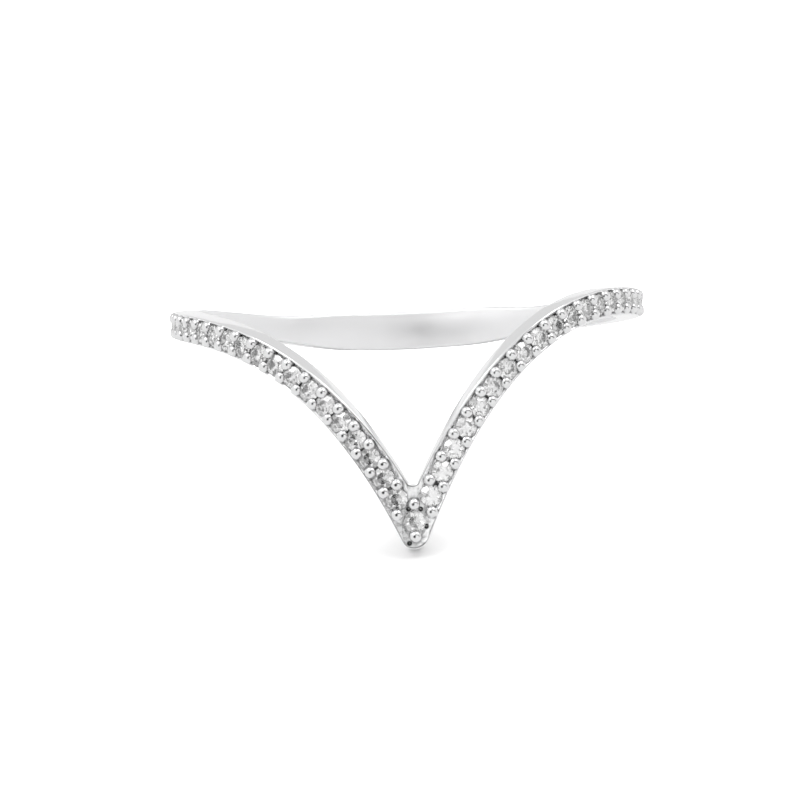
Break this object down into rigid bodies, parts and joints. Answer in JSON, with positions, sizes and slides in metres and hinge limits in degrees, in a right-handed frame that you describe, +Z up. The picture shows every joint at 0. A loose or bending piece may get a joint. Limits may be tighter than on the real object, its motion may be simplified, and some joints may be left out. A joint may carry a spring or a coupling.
{
  "type": "chevron ring",
  "caption": "Fine white metal ring that dips to a V at the front, with a row of small round stones held by beads between two fine rims along both arms and a plain polished band at the back.",
  "frame": {"origin": "middle of the ring's bounding box, on the level surface that it lies on", "axes": "+Z up, -Y from the middle of the box towards the point of the V, +X to the right seen from the front"},
  "size_m": [0.0196, 0.0213, 0.008],
  "materials": {
    "metal": "polished white gold with a thin rhodium skin",
    "stone": "clear round stones in the single cut, slightly cloudy, facets flat and polished"
  },
  "bodies": {
    "root": {"shank": "metal", "stone_tip": "stone", "stone_left_01": "stone", "stone_left_02": "stone", "stone_left_03": "stone", "stone_left_04": "stone", "stone_left_05": "stone", "stone_left_06": "stone", "stone_left_07": "stone", "stone_left_08": "stone", "stone_left_09": "stone", "stone_left_10": "stone", "stone_left_11": "stone", "stone_left_12": "stone", "stone_left_13": "stone", "stone_left_14": "stone", "stone_left_15": "stone", "stone_left_16": "stone", "stone_left_17": "stone", "stone_left_18": "stone", "stone_left_19": "stone", "stone_right_01": "stone", "stone_right_02": "stone", "stone_right_03": "stone", "stone_right_04": "stone", "stone_right_05": "stone", "stone_right_06": "stone", "stone_right_07": "stone", "stone_right_08": "stone", "stone_right_09": "stone", "stone_right_10": "stone", "stone_right_11": "stone", "stone_right_12": "stone", "stone_right_13": "stone", "stone_right_14": "stone", "stone_right_15": "stone", "stone_right_16": "stone", "stone_right_17": "stone", "stone_right_18": "stone", "stone_right_19": "stone"}
  },
  "joints": []
}
